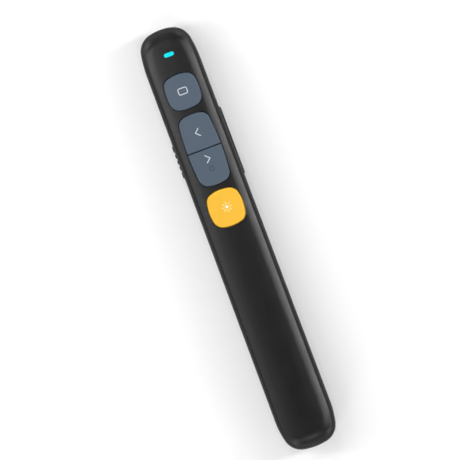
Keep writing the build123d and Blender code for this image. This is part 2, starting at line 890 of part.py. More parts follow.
def battery_door():
    door = (outer - inner) & door_zone(0)
    root_out = door_width / 2 - tongue_root
    for y in tongue_places:
        low, high = y - tongue_length / 2, y + tongue_length / 2
        top = shelf_top + tongue_gap + tongue_height
        hook = block(root_out - tongue_root, root_out, low, high, case_wall / 2, top)
        hook += block(root_out, root_out + tongue_reach, low, high, top - tongue_height, top)
        door += both_sides(hook & middle)
    for index in range(door_groove_count):
        y = door_front - door_groove_set - index * door_groove_pitch
        half = door_groove_length / 2
        radius = (door_groove_width / 2) ** 2 / (2 * door_groove_depth) + door_groove_depth / 2
        door -= rod_x(radius, -half, half, y, door_groove_depth - radius)
    return door


def door_shelf():
    """Ledges of the housing that the door's tongues hook over, notched where the door lifts away."""
    inside = door_width / 2 - tongue_root + tongue_gap
    tail = min(tongue_places) - door_travel - tongue_length
    shelf_foot = shelf_top - shelf_thickness
    shelf = block(inside, far, tail, door_front - door_gap, shelf_foot, shelf_top) & middle
    for y in tongue_places:
        half = tongue_length / 2 + door_gap
        centre = y - door_travel
        notch_out = inside + tongue_reach + door_gap
        shelf -= block(0, notch_out, centre - half, centre + half, 0, far)
    return both_sides(shelf)


# ---- receiver ---------------------------------------------------------------------------------------
grip_nose = grip_tail + grip_length
plug_tail = grip_nose - plug_inset
plug_nose = plug_tail + plug_length
plug_half = plug_width / 2
insert_low = plug_z + plug_height - plug_wall - insert_thickness


def plug_block(grow):
    return block(
        -plug_half - grow, plug_half + grow, plug_tail - grow, plug_nose + grow, plug_z - grow,
        plug_z + plug_height + grow,
    )


def receiver_grip():
    half = grip_width / 2
    grip = block(-half, half, grip_tail, grip_nose, 0, grip_lift + grip_height)
    grip = fillet(grip.edges().filter_by(Axis.Z), grip_round)
    grip = fillet(grip.edges().group_by(Axis.Z)[-1], grip_round / 2)
    grip &= case_form(grip_lift)
    return grip - plug_block(0)


def receiver_plug():
    shell = plug_block(0)
    shell = fillet(shell.edges().filter_by(Axis.Y), plug_corner)
    shell -= block(
        -plug_half + plug_wall, plug_half - plug_wall, plug_tail + plug_wall, far,
        plug_z + plug_wall, plug_z + plug_height - plug_wall,
    )
    window_half = plug_window / 2
    for x in (-plug_window_x, plug_window_x):
        y = plug_nose - plug_window_set
        shell -= block(x - window_half, x + window_half, y - window_half, y + window_half, 0, far)
    return shell


def receiver_insert():
    half = plug_half - plug_wall
    tongue = block(
        -half, half, plug_tail + plug_wall, plug_nose - plug_wall, insert_low, insert_low + insert_thickness
    )
    for strip in strip_blocks(bond_gap):
        tongue -= strip
    return tongue


def strip_blocks(grow):
    """The contact strips let into the free face of the tongue, or with grow their seats."""
    strips = []
    finish = plug_nose - plug_wall - strip_set
    for index in range(contact_strips):
        x = (index - (contact_strips - 1) / 2) * strip_pitch
        half = strip_width / 2 + grow
        strips.append(
            block(
                x - half, x + half, finish - strip_length - grow, finish + grow, insert_low - grow,
                insert_low + strip_thickness + grow,
            )
        )
    return strips


def receiver_contacts():
    return Compound(strip_blocks(0))


def receiver_magnet():
    low = pocket_top + pocket_roof - magnet_thickness
    magnet = rod_z(magnet_radius, 0, (grip_nose + plug_nose) / 2, low, low + magnet_thickness)
    return chamfer(magnet.edges(), magnet_gap * 2)


def receiver_pocket_walls():
    top = pocket_top + pocket_roof
    half = plug_half + pocket_gap + pocket_wall
    walls = block(-half, half, grip_tail, plug_nose + pocket_gap + pocket_wall, case_wall / 2, top)
    margin = pocket_gap + pocket_wall
    wide = grip_width / 2 + margin
    walls += block(-wide, wide, grip_tail - margin, grip_nose + margin, case_wall / 2, top)
    pad = block(
        -scoop_radius, scoop_radius, grip_tail - scoop_length, grip_tail, case_wall / 2,
        scoop_depth + case_wall,
    )
    for back in rest_sets:
        y = grip_tail + back
        walls += block(-half, half, y, y + pocket_wall, top - pocket_wall, board_base)
    return (walls + pad) & middle


def receiver_pocket_cuts():
    wide = grip_width / 2 + pocket_gap
    cuts = block(-wide, wide, grip_tail - pocket_gap, grip_nose + pocket_gap, -through, pocket_top)
    cuts += block(
        -plug_half - pocket_gap, plug_half + pocket_gap, grip_nose, plug_nose + pocket_gap, -through,
        plug_z + plug_height + pocket_gap,
    )
    magnet_low = pocket_top + pocket_roof - magnet_thickness - magnet_gap
    magnet_y = (grip_nose + plug_nose) / 2
    cuts += rod_z(magnet_radius + magnet_gap, 0, magnet_y, magnet_low, board_base)
    scoop_y = grip_tail - pocket_gap - scoop_length / 3
    scoop = Pos(0, scoop_y, scoop_depth - scoop_radius) * Sphere(scoop_radius)
    return cuts + scoop


# ---- bottom housing ---------------------------------------------------------------------------------
def bottom_housing():
    rim = case_outline(rim_side - seam_gap, rim_nose - seam_gap, rim_tail - seam_gap)
    housing = outer - inner - between(rim, cover_ledge, 2 * case_height)
    housing += receiver_pocket_walls()
    housing -= door_zone(door_gap)
    housing += door_shelf()
    bay = arch(bay_outside, bay_tail - bay_wall, bay_nose + bay_wall, bay_foot)
    rib_top = cover_ledge - lip_depth - 2 * seam_gap
    rib_y = bay_tail
    while rib_y < bay_nose:
        bay += block(-far, far, rib_y, rib_y + bay_wall, bay_foot, rib_top) & middle
        rib_y += bay_rib_pitch
    lip_room = lip_inside + seam_gap
    lip_zone = between(case_outline(0, 0, 0), rib_top, case_height)
    housing += bay - (lip_zone - between(case_outline(lip_room, lip_room, lip_room), 0, case_height))
    housing -= arch(bay_inside, bay_tail, bay_nose, 0)
    half = strap_width / 2 + strap_gap
    housing -= block(-half, half, bay_tail, bay_tail + contact_thickness + strap_gap, cell_z, far)
    slot_x = -contact_width / 2 - strap_gap
    slot_z = board_top - contact_thickness - board_thickness - strap_gap
    housing -= block(
        slot_x, slot_x + tab_width + 2 * strap_gap, bay_nose - bay_wall, board_tail + tab_lap + strap_gap,
        slot_z, slot_z + contact_thickness + 2 * strap_gap,
    )
    for x, y in screw_places:
        housing += rod_z(boss_radius, x, y, case_wall / 2, board_base)
        pilot = screw_shank_radius + bond_gap / 2
        housing -= rod_z(pilot, x, y, board_top - screw_depth - screw_slot, case_height)
    housing -= receiver_pocket_cuts()
    for back in cradle_sets:
        y = nose_tip - back
        rib = block(-cradle_half_width, cradle_half_width, y, y + cradle_thickness, case_wall / 2, laser_z)
        housing += rib & middle
    pad_tail = nose_tip - case_wall - bay_wall
    housing += rod_y(window_radius + bay_wall, pad_tail, nose_tip - case_wall / 2, 0, laser_z) & middle
    cradle_tail = nose_tip - max(cradle_sets) - through
    housing -= rod_y(laser_barrel_radius + bond_gap, cradle_tail, pad_tail, 0, laser_z)
    housing -= rod_y(aperture_radius, pad_tail - through, nose_tip, 0, laser_z)
    window_tail = nose_tip - window_set_back - window_thickness
    housing -= rod_y(window_radius + bond_gap, window_tail, nose_tip + through, 0, laser_z)
    housing += rocker_bracket()
    housing -= side_prism(
        SlotOverall(rocker_length + 2 * rocker_gap, rocker_height + 2 * rocker_gap),
        rocker_flange_x, rocker_reach + through, rocker_y, side_z,
    )
    knob_slot = RectangleRounded(knob_slot_length, knob_height + 2 * knob_gap, knob_corner + knob_gap)
    housing -= side_prism(knob_slot, -knob_reach - through, -knob_flange_x, knob_slot_y, side_z)
    for pocket in snap_hooks(snap_gap):
        housing -= pocket
    return housing


pieces = {
    "bottom_housing": bottom_housing,
    "top_cover": top_cover,
    "battery_door": battery_door,
    "screen_key": lambda: key_cap(screen_outline, screen_key_y),
    "page_up_key": lambda: key_cap(page_up_outline, page_up_y),
    "page_down_key": lambda: key_cap(page_down_outline, page_down_y),
    "laser_key": lambda: key_cap(laser_outline, laser_key_y),
    "screen_plunger": lambda: key_plunger(screen_key_y),
    "page_up_plunger": lambda: key_plunger(page_up_y),
    "page_down_plunger": lambda: key_plunger(page_down_y),
    "laser_plunger": lambda: key_plunger(laser_key_y),
    "key_switches": key_switches,
    "main_board": main_board,
    "board_screws": board_screws,
    "radio_chip": radio_chip,
    "crystal": crystal,
    "board_parts": board_parts,
    "status_led": status_led,
    "light_window": light_window,
    "laser_barrel": laser_barrel,
    "laser_lens": laser_lens,
    "laser_diode": laser_diode,
    "laser_driver": laser_driver,
    "laser_pins": laser_pins,
    "nose_window": nose_window,
    "volume_rocker": volume_rocker,
    "rocker_pin": rocker_pin,
    "rocker_switches": rocker_switches,
    "power_knob": power_knob,
    "slide_lever": slide_lever,
    "slide_switch": slide_switch,
    "battery_cell": battery_cell,
    "battery_spring": battery_spring,
    "spring_plate": spring_plate,
    "battery_strap": battery_strap,
    "battery_contact": battery_contact,
    "receiver_grip": receiver_grip,
    "receiver_plug": receiver_plug,
    "receiver_insert": receiver_insert,
    "receiver_contacts": receiver_contacts,
    "receiver_magnet": receiver_magnet,
}

os.makedirs("parts", exist_ok=True)
for name, make in pieces.items():
    export_step(make(), "parts/" + name + ".step")
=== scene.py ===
from math import atan2, cos, pi, radians, sin, sqrt

import bmesh
import bpy
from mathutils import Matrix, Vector


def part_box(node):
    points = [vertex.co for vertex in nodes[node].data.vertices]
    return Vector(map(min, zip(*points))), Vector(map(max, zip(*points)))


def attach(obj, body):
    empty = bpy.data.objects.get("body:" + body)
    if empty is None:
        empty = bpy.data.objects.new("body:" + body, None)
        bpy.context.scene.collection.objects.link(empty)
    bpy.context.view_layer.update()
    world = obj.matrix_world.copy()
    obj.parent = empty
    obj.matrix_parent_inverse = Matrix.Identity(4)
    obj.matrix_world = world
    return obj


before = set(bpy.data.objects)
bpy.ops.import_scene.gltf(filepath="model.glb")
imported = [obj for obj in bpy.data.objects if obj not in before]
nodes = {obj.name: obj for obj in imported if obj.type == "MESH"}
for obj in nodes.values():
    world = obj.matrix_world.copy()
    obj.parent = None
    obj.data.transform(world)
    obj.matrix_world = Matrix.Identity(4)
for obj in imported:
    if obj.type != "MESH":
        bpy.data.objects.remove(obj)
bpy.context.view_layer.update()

scene = bpy.context.scene
mm = 0.001


# camera, straight above the keys
camera = {
    "pixelsAcross": 460,
    "pixelsPerMm": 2.923,
    "middlePixel": (237.7, 238.1),  # where the middle of the case falls
    "turn": -20.56,  # degrees, nose to the upper left
    "lens": 800.0,
    "sensor": 36.0,
    "sharpHeight": 8.0,  # mm, height of the widest part of the case
    "clip": (0.01, 50.0),  # metres, nearest and farthest that it sees
}


def makeCamera(values):
    data = bpy.data.cameras.new("camera")
    data.lens = values["lens"]
    data.sensor_width = values["sensor"]
    data.clip_start, data.clip_end = values["clip"]
    distance = values["pixelsAcross"] / values["pixelsPerMm"] * values["lens"] / values["sensor"]
    turn = radians(values["turn"])
    up = Vector((-sin(turn), cos(turn)))
    right = Vector((up.y, -up.x))
    middle = values["pixelsAcross"] / 2
    toRight = (middle - values["middlePixel"][0]) / values["pixelsPerMm"]
    toTop = (values["middlePixel"][1] - middle) / values["pixelsPerMm"]
    place = right * toRight + up * toTop
    holder = bpy.data.objects.new("camera", data)
    holder.location = Vector((place.x, place.y, distance + values["sharpHeight"])) * mm
    holder.rotation_euler = (0, 0, turn)
    scene.collection.objects.link(holder)
    scene.camera = holder


makeCamera(camera)
print("camera stands over the keys")


# small helpers for the materials
def newMaterial(name):
    material = bpy.data.materials.new(name)
    material.use_nodes = True
    tree = material.node_tree
    return material, tree, tree.nodes["Principled BSDF"]


def addNode(tree, kind, **settings):
    node = tree.nodes.new(kind)
    for key, value in settings.items():
        if key in node.inputs:
            node.inputs[key].default_value = value
        else:
            setattr(node, key, value)
    return node


def objectPlace(tree, stretch=(1, 1, 1)):
    # where a point sits on the object, in metres, stretched along each axis
    place = addNode(tree, "ShaderNodeTexCoord")
    spread = addNode(tree, "ShaderNodeMapping")
    spread.inputs["Scale"].default_value = stretch
    tree.links.new(place.outputs["Object"], spread.inputs["Vector"])
    return spread.outputs["Vector"]


def noiseOn(tree, vector, scale, detail=2.0, rough=0.5):
    noise = addNode(tree, "ShaderNodeTexNoise", Scale=scale, Detail=detail, Roughness=rough)
    tree.links.new(vector, noise.inputs["Vector"])
    return noise.outputs["Fac"]


def ranged(tree, value, low, high, fromLow=0.3, fromHigh=0.7):
    span = addNode(tree, "ShaderNodeMapRange")
    span.inputs["From Min"].default_value = fromLow
    span.inputs["From Max"].default_value = fromHigh
    span.inputs["To Min"].default_value = low
    span.inputs["To Max"].default_value = high
    tree.links.new(value, span.inputs["Value"])
    return span.outputs["Result"]


def mixedColour(tree, factor, first, second):
    mix = addNode(tree, "ShaderNodeMix", data_type="RGBA")
    # sockets 0, 6 and 7 of a colour mix are its factor and its two colours, and output 2 its result
    for socket, colour in ((mix.inputs[6], first), (mix.inputs[7], second)):
        if hasattr(colour, "is_output"):
            tree.links.new(colour, socket)
        else:
            socket.default_value = (*colour, 1)
    tree.links.new(factor, mix.inputs[0])
    return mix.outputs[2]


def scaledColour(colour, times):
    return tuple(min(channel * times, 1.0) for channel in colour)


def bumped(tree, shader, height, strength, depth, before=None):
    bump = addNode(tree, "ShaderNodeBump", Strength=strength, Distance=depth)
    tree.links.new(height, bump.inputs["Height"])
    if before is not None:
        tree.links.new(before, bump.inputs["Normal"])
    tree.links.new(bump.outputs["Normal"], shader.inputs["Normal"])
    return bump.outputs["Normal"]


def dressNodes(material, *names):
    for name in names:
        slots = nodes[name].data.materials
        slots.clear()
        slots.append(material)


# moulded plastics: spark-grained tool finish, drifting colour, rubbed patches and hair scratches
def mouldedPlastic(name, look):
    material, tree, shader = newMaterial(name)
    place = objectPlace(tree)
    colour = look["colour"]
    drift = noiseOn(tree, place, look["driftScale"], look["driftDetail"])
    drifted = scaledColour(colour, look["driftTo"])
    tone = mixedColour(tree, ranged(tree, drift, 0, 1), colour, drifted)
    grain = noiseOn(tree, place, look["grainScale"])
    specks = ranged(tree, grain, 0, look["speck"], *look["speckSpan"])
    speckled = mixedColour(tree, specks, tone, scaledColour(colour, look["speckTo"]))
    tree.links.new(speckled, shader.inputs["Base Color"])
    rubbed = noiseOn(tree, place, look["rubScale"], look["rubDetail"])
    tree.links.new(ranged(tree, rubbed, *look["roughness"]), shader.inputs["Roughness"])
    hairs = noiseOn(tree, objectPlace(tree, look["hairStretch"]), look["hairScale"])
    scratches = ranged(tree, hairs, 0, 1, *look["hairSpan"])
    scratched = bumped(tree, shader, scratches, look["hairStrength"], look["hairDepth"])
    bumped(tree, shader, grain, look["grainStrength"], look["grainDepth"], scratched)
    shader.inputs["Specular IOR Level"].default_value = look["specular"]
    return material


plasticBase = {
    "driftTo": 0.86, "driftScale": 55.0, "driftDetail": 3.0,
    "speck": 0.5, "speckTo": 1.18, "speckSpan": (0.35, 0.65),
    "grainScale": 5200.0, "grainStrength": 0.3, "grainDepth": 0.00003,
    "rubScale": 160.0, "rubDetail": 4.0, "roughness": (0.34, 0.4), "specular": 0.32,
    "hairStretch": (1.0, 0.06, 1.0), "hairScale": 1900.0, "hairSpan": (0.62, 0.7),
    "hairStrength": 0.08, "hairDepth": 0.00001,
}
satinCase = mouldedPlastic("satinCase", {**plasticBase, "colour": (0.0072, 0.0072, 0.0074)})
# the housing plastic is a darker, less glossy copy of the case plastic: painted shade that keeps
# the rim below the seam dark, spread over the whole lower shell
shadedHousing = mouldedPlastic("shadedHousing", {
    **plasticBase, "colour": (0.006, 0.006, 0.0062), "roughness": (0.4, 0.46), "specular": 0.118,
})
innerBlack = mouldedPlastic("innerBlack", {
    **plasticBase, "colour": (0.02, 0.02, 0.021), "roughness": (0.3, 0.42), "grainStrength": 0.12,
})
slateKey = mouldedPlastic("slateKey", {
    **plasticBase, "colour": (0.0795, 0.1065, 0.143), "driftTo": 0.96,
    "speck": 0.4, "speckTo": 1.05, "roughness": (0.56, 0.64), "specular": 0.22,
    "grainScale": 6500.0, "grainStrength": 0.16,
})
amberKey = mouldedPlastic("amberKey", {
    **plasticBase, "colour": (0.85, 0.468, 0.0385), "driftTo": 0.97,
    "speck": 0.4, "speckTo": 1.04, "roughness": (0.54, 0.62), "specular": 0.22,
    "grainScale": 6500.0, "grainStrength": 0.16,
})
dressNodes(satinCase, "top_cover")
# painted shade: the darker housing copy goes on the lower shell, battery door, rocker, knob and
# receiver grip
dressNodes(
    shadedHousing, "bottom_housing", "battery_door", "volume_rocker", "power_knob", "receiver_grip",
)
dressNodes(slateKey, "screen_key", "page_up_key", "page_down_key")
dressNodes(amberKey, "laser_key")
dressNodes(
    innerBlack, "screen_plunger", "page_up_plunger", "page_down_plunger", "laser_plunger",
    "rocker_switches", "slide_lever",
)
print("case, keys and inner mouldings are finished")


# metals: drawn or plated, with fine lines along one axis and cloudy tarnish
def drawnMetal(name, look):
    material, tree, shader = newMaterial(name)
    cloud = noiseOn(tree, objectPlace(tree), look["cloudScale"], look["cloudDetail"])
    tone = mixedColour(tree, ranged(tree, cloud, 0, 1), look["colour"], look["tarnish"])
    tree.links.new(tone, shader.inputs["Base Color"])
    lines = noiseOn(
        tree, objectPlace(tree, look["lineStretch"]), look["lineScale"], look["lineDetail"]
    )
    tree.links.new(ranged(tree, lines, *look["roughness"]), shader.inputs["Roughness"])
    bumped(tree, shader, lines, look["lineStrength"], look["lineDepth"])
    shader.inputs["Metallic"].default_value = 1.0
    return material


metalBase = {
    "cloudScale": 420.0, "cloudDetail": 4.0, "roughness": (0.2, 0.38),
    "lineStretch": (1.0, 0.05, 1.0), "lineScale": 5200.0, "lineDetail": 3.0,
    "lineStrength": 0.2, "lineDepth": 0.00001,
}
tinnedSteel = drawnMetal("tinnedSteel", {
    **metalBase, "colour": (0.62, 0.62, 0.61), "tarnish": (0.5, 0.49, 0.47),
})
plainSteel = drawnMetal("plainSteel", {
    **metalBase, "colour": (0.56, 0.56, 0.57), "tarnish": (0.42, 0.41, 0.4),
    "lineStretch": (1.0, 1.0, 0.06),
})
nickelPlate = drawnMetal("nickelPlate", {
    **metalBase, "colour": (0.68, 0.65, 0.6), "tarnish": (0.55, 0.51, 0.45),
    "roughness": (0.14, 0.28),
})
turnedBrass = drawnMetal("turnedBrass", {
    **metalBase, "colour": (0.72, 0.5, 0.2), "tarnish": (0.5, 0.32, 0.12),
    "lineStretch": (0.06, 1.0, 0.06),
})
goldFlash = drawnMetal("goldFlash", {
    **metalBase, "colour": (0.85, 0.62, 0.28), "tarnish": (0.7, 0.47, 0.19),
    "roughness": (0.12, 0.24),
})
plugNickel = drawnMetal("plugNickel", {
    **metalBase, "colour": (0.7, 0.7, 0.7), "tarnish": (0.58, 0.57, 0.56), "roughness": (0.16, 0.3),
})
magnetPlate = drawnMetal("magnetPlate", {
    **metalBase, "colour": (0.62, 0.62, 0.64), "tarnish": (0.5, 0.5, 0.52),
    "roughness": (0.08, 0.16),
})
dressNodes(tinnedSteel, "key_switches", "slide_switch")
dressNodes(plainSteel, "board_screws", "crystal", "rocker_pin")
dressNodes(nickelPlate, "battery_spring", "spring_plate", "battery_strap", "battery_contact")
dressNodes(turnedBrass, "laser_barrel")
dressNodes(goldFlash, "laser_diode", "laser_pins", "receiver_contacts")
dressNodes(plugNickel, "receiver_plug")
dressNodes(magnetPlate, "receiver_magnet")
print("metals are finished")


# circuit board: black mask over a grid of copper runs, and a bare glass-fibre edge
boardLook = {
    "mask": (0.009, 0.01, 0.011), "overCopper": (0.022, 0.024, 0.026), "edge": (0.2, 0.18, 0.1),
    "runScale": 760.0, "runSpan": (0.42, 0.5), "runStrength": 0.5, "runDepth": 0.00003,
    "weaveScale": 2600.0, "roughness": (0.24, 0.36),
    "faceSpan": (0.4, 0.6),  # how far up or down a face looks, from cut edge to sheet
}


def circuitBoard(name, look):
    material, tree, shader = newMaterial(name)
    place = objectPlace(tree)
    cells = addNode(
        tree, "ShaderNodeTexVoronoi", distance="MANHATTAN", feature="F1", Scale=look["runScale"]
    )
    tree.links.new(place, cells.inputs["Vector"])
    runs = ranged(tree, cells.outputs["Distance"], 0, 1, *look["runSpan"])
    mask = mixedColour(tree, runs, look["mask"], look["overCopper"])
    facing = addNode(tree, "ShaderNodeNewGeometry")
    split = addNode(tree, "ShaderNodeSeparateXYZ")
    tree.links.new(facing.outputs["Normal"], split.inputs["Vector"])
    upward = addNode(tree, "ShaderNodeMath", operation="ABSOLUTE")
    tree.links.new(split.outputs["Z"], upward.inputs[0])
    sheetFace = ranged(tree, upward.outputs["Value"], 0, 1, *look["faceSpan"])
    tree.links.new(mixedColour(tree, sheetFace, look["edge"], mask), shader.inputs["Base Color"])
    weave = noiseOn(tree, place, look["weaveScale"])
    tree.links.new(ranged(tree, weave, *look["roughness"]), shader.inputs["Roughness"])
    bumped(tree, shader, runs, look["runStrength"], look["runDepth"])
    return material


dressNodes(circuitBoard("maskedBoard", boardLook), "main_board", "laser_driver")


# radio chip: sanded epoxy with a faint swirl
chipLook = {
    "colour": (0.018, 0.018, 0.019), "swirl": (0.035, 0.035, 0.036), "roughness": (0.45, 0.7),
    "scale": 1500.0, "detail": 6.0, "rough": 0.7, "strength": 0.25, "depth": 0.00002,
}


def chipEpoxy(name, look):
    material, tree, shader = newMaterial(name)
    swirl = noiseOn(tree, objectPlace(tree), look["scale"], look["detail"], look["rough"])
    tone = mixedColour(tree, ranged(tree, swirl, 0, 1), look["colour"], look["swirl"])
    tree.links.new(tone, shader.inputs["Base Color"])
    tree.links.new(ranged(tree, swirl, *look["roughness"]), shader.inputs["Roughness"])
    bumped(tree, shader, swirl, look["strength"], look["depth"])
    return material


dressNodes(chipEpoxy("chipEpoxy", chipLook), "radio_chip")


# small board parts: tan ceramic bodies with tinned ends
partLook = {
    "body": (0.4, 0.29, 0.19), "shade": 0.8, "ends": (0.66, 0.66, 0.65),
    "middle": 0.0046, "bodyHalf": 0.00048,  # metres across the board
    "grainScale": 4200.0, "grainDetail": 3.0, "roughness": (0.28, 0.46),
    "strength": 0.2, "depth": 0.00002,
}


def tinnedCeramic(name, look):
    material, tree, shader = newMaterial(name)
    place = objectPlace(tree)
    split = addNode(tree, "ShaderNodeSeparateXYZ")
    tree.links.new(place, split.inputs["Vector"])
    across = addNode(tree, "ShaderNodeMath", operation="ABSOLUTE")
    tree.links.new(split.outputs["X"], across.inputs[0])
    fromMiddle = addNode(tree, "ShaderNodeMath", operation="SUBTRACT")
    tree.links.new(across.outputs["Value"], fromMiddle.inputs[0])
    fromMiddle.inputs[1].default_value = look["middle"]
    reach = addNode(tree, "ShaderNodeMath", operation="ABSOLUTE")
    tree.links.new(fromMiddle.outputs["Value"], reach.inputs[0])
    tinned = addNode(tree, "ShaderNodeMath", operation="GREATER_THAN")
    tree.links.new(reach.outputs["Value"], tinned.inputs[0])
    tinned.inputs[1].default_value = look["bodyHalf"]
    tin = tinned.outputs["Value"]
    grain = noiseOn(tree, place, look["grainScale"], look["grainDetail"])
    shaded = scaledColour(look["body"], look["shade"])
    clay = mixedColour(tree, ranged(tree, grain, 0, 1), look["body"], shaded)
    tree.links.new(mixedColour(tree, tin, clay, look["ends"]), shader.inputs["Base Color"])
    tree.links.new(tin, shader.inputs["Metallic"])
    tree.links.new(ranged(tree, grain, *look["roughness"]), shader.inputs["Roughness"])
    bumped(tree, shader, grain, look["strength"], look["depth"])
    return material


dressNodes(tinnedCeramic("tinnedCeramic", partLook), "board_parts")


# battery: film wrap in two greys with a bare steel foot and nub
cellLook = {
    "wrap": (0.3, 0.31, 0.33), "shade": 0.85, "band": (0.035, 0.04, 0.05),
    "steel": (0.62, 0.61, 0.6),
    "bandFrom": -0.0585, "footEnd": -0.0653, "nubFrom": -0.0225,  # metres along the clicker
    "foilScale": 900.0, "foilDetail": 3.0, "metallic": (0.35, 1.0), "roughness": (0.16, 0.3),
    "strength": 0.12, "depth": 0.00002,
}


def cellWrap(name, look):
    material, tree, shader = newMaterial(name)
    place = objectPlace(tree)
    split = addNode(tree, "ShaderNodeSeparateXYZ")
    tree.links.new(place, split.inputs["Vector"])

    def beyond(value, below=False):
        test = addNode(tree, "ShaderNodeMath", operation="LESS_THAN" if below else "GREATER_THAN")
        tree.links.new(split.outputs["Y"], test.inputs[0])
        test.inputs[1].default_value = value
        return test.outputs["Value"]

    foil = noiseOn(tree, place, look["foilScale"], look["foilDetail"])
    shaded = scaledColour(look["wrap"], look["shade"])
    sheen = mixedColour(tree, ranged(tree, foil, 0, 1), look["wrap"], shaded)
    banded = mixedColour(tree, beyond(look["bandFrom"], True), sheen, look["band"])
    ends = addNode(tree, "ShaderNodeMath", operation="MAXIMUM")
    tree.links.new(beyond(look["footEnd"], True), ends.inputs[0])
    tree.links.new(beyond(look["nubFrom"]), ends.inputs[1])
    bare = ends.outputs["Value"]
    tree.links.new(mixedColour(tree, bare, banded, look["steel"]), shader.inputs["Base Color"])
    tree.links.new(ranged(tree, bare, *look["metallic"], 0.0, 1.0), shader.inputs["Metallic"])
    tree.links.new(ranged(tree, foil, *look["roughness"]), shader.inputs["Roughness"])
    bumped(tree, shader, foil, look["strength"], look["depth"])
    return material


dressNodes(cellWrap("cellWrap", cellLook), "battery_cell")
print("board and battery are finished")


# status light: a frosted guide, lit from below
lightLook = {
    "colour": (0.001, 0.08, 0.09), "shade": 0.9, "specular": 0.1, "roughness": (0.4, 0.5),
    "glow": (0.006, 0.86, 0.97), "glowShade": 0.93, "glowStrength": 0.9, "frostScale": 3000.0,
}


def litGuide(name, look):
    material, tree, shader = newMaterial(name)
    frost = noiseOn(tree, objectPlace(tree), look["frostScale"])
    dimmer = scaledColour(look["glow"], look["glowShade"])
    glow = mixedColour(tree, ranged(tree, frost, 0, 1), look["glow"], dimmer)
    tree.links.new(glow, shader.inputs["Emission Color"])
    shader.inputs["Emission Strength"].default_value = look["glowStrength"]
    shaded = scaledColour(look["colour"], look["shade"])
    tree.links.new(mixedColour(tree, frost, look["colour"], shaded), shader.inputs["Base Color"])
    tree.links.new(ranged(tree, frost, *look["roughness"]), shader.inputs["Roughness"])
    shader.inputs["Specular IOR Level"].default_value = look["specular"]
    return material


dressNodes(litGuide("litGuide", lightLook), "light_window")


# polished mouldings: the lamp under the light, lens, nose window and plug tongue
def clearMoulding(name, look):
    material, tree, shader = newMaterial(name)
    wave = noiseOn(tree, objectPlace(tree), look["waveScale"])
    shaded = scaledColour(look["colour"], look["shade"])
    tree.links.new(mixedColour(tree, wave, look["colour"], shaded), shader.inputs["Base Color"])
    tree.links.new(ranged(tree, wave, *look["roughness"]), shader.inputs["Roughness"])
    shader.inputs["Transmission Weight"].default_value = look["clear"]
    bumped(tree, shader, wave, look["strength"], look["depth"])
    return material


clearBase = {"shade": 0.9, "clear": 0.0, "waveScale": 700.0, "strength": 0.05, "depth": 0.00001}
lampLens = clearMoulding("lampLens", {
    **clearBase, "colour": (0.75, 0.85, 0.8), "roughness": (0.15, 0.3),
})
laserLens = clearMoulding("laserLens", {
    **clearBase, "colour": (0.92, 0.94, 0.97), "roughness": (0.01, 0.04), "clear": 0.95,
})
noseWindow = clearMoulding("noseWindow", {
    **clearBase, "colour": (0.045, 0.004, 0.005), "roughness": (0.04, 0.1),
})
plugTongue = clearMoulding("plugTongue", {
    **clearBase, "colour": (0.012, 0.012, 0.013), "roughness": (0.3, 0.42),
})
dressNodes(lampLens, "status_led")
dressNodes(laserLens, "laser_lens")
dressNodes(noseWindow, "nose_window")
dressNodes(plugTongue, "receiver_insert")
print("windows and lamp are finished")


# printed key symbols: thin ribbons of ink that follow the crown of the keys, all in mm
crown = {"radius": 30.3, "middle": -14.0}  # cross curve of the key tops
ink = {"line": 0.31, "above": 0.012, "below": 0.03, "step": 0.2, "endSteps": 8}


def aimed(turn, reach=1.0):
    return Vector((cos(turn), sin(turn))) * reach


def onCrown(point, lift):
    height = crown["middle"] + sqrt(crown["radius"] ** 2 - point[0] ** 2)
    return Vector((point[0], point[1], height + lift)) * mm


def inkPoint(sheet, point):
    return sheet.verts.new(onCrown(point, ink["above"]))


def steps(row, closed):
    # each item with the one after it, and the last with the first if the row is closed
    return zip(row, row[1:] + row[:1] if closed else row[1:])


def cutShort(path, closed):
    # the path again with a point at every step, so that the ink bends with the crown
    points = []
    for start, end in steps(path, closed):
        count = max(1, round((Vector(end) - Vector(start)).length / ink["step"]))
        points += [Vector(start).lerp(Vector(end), i / count) for i in range(count)]
    return points if closed else points + [Vector(path[-1])]


def ribbonSides(path, line, closed):
    # left and right edge of the ribbon at each point, mitred where it turns
    sides = []
    for i, here in enumerate(path):
        arms = []
        if closed or i > 0:
            arms.append((here - path[i - 1]).normalized())
        if closed or i + 1 < len(path):
            arms.append((path[(i + 1) % len(path)] - here).normalized())
        heading = sum(arms, Vector((0, 0))).normalized()
        reach = line / 2 / heading.dot(arms[0])
        across = Vector((-heading.y, heading.x)) * reach
        sides.append((here + across, here - across))
    return sides


def drawLine(sheet, path, line, closed=False):
    path = cutShort(path, closed)
    corners = [[inkPoint(sheet, p) for p in pair] for pair in ribbonSides(path, line, closed)]
    for (left, right), (nextLeft, nextRight) in steps(corners, closed):
        sheet.faces.new((left, right, nextRight, nextLeft))
    if closed:
        return
    ends = ((path[0], path[1], corners[0][::-1]), (path[-1], path[-2], corners[-1]))
    for tip, inner, pair in ends:
        away = (tip - inner).normalized()
        start = atan2(away.y, away.x) - pi / 2
        arc = []
        for i in range(1, ink["endSteps"]):
            turn = start + pi * i / ink["endSteps"]
            arc.append(inkPoint(sheet, tip + aimed(turn) * line / 2))
        sheet.faces.new([pair[1]] + arc + [pair[0]])


def ringOf(middle, radius, count):
    return [middle + aimed(2 * pi * i / count, radius) for i in range(count)]


def roundedFrame(middle, symbol):
    corner, count = symbol["corner"], symbol["cornerSteps"]
    reach = Vector((symbol["wide"] / 2 - corner, symbol["high"] / 2 - corner))
    points = []
    for quarter, (sideX, sideY) in enumerate(((1, 1), (-1, 1), (-1, -1), (1, -1))):
        centre = middle + Vector((sideX * reach.x, sideY * reach.y))
        for i in range(count + 1):
            points.append(centre + aimed(pi / 2 * (quarter + i / count), corner))
    return points


def fromKey(key, away):
    low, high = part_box(key)
    middle = (low + high) / 2 / mm
    return Vector((middle.x + away[0], middle.y + away[1]))


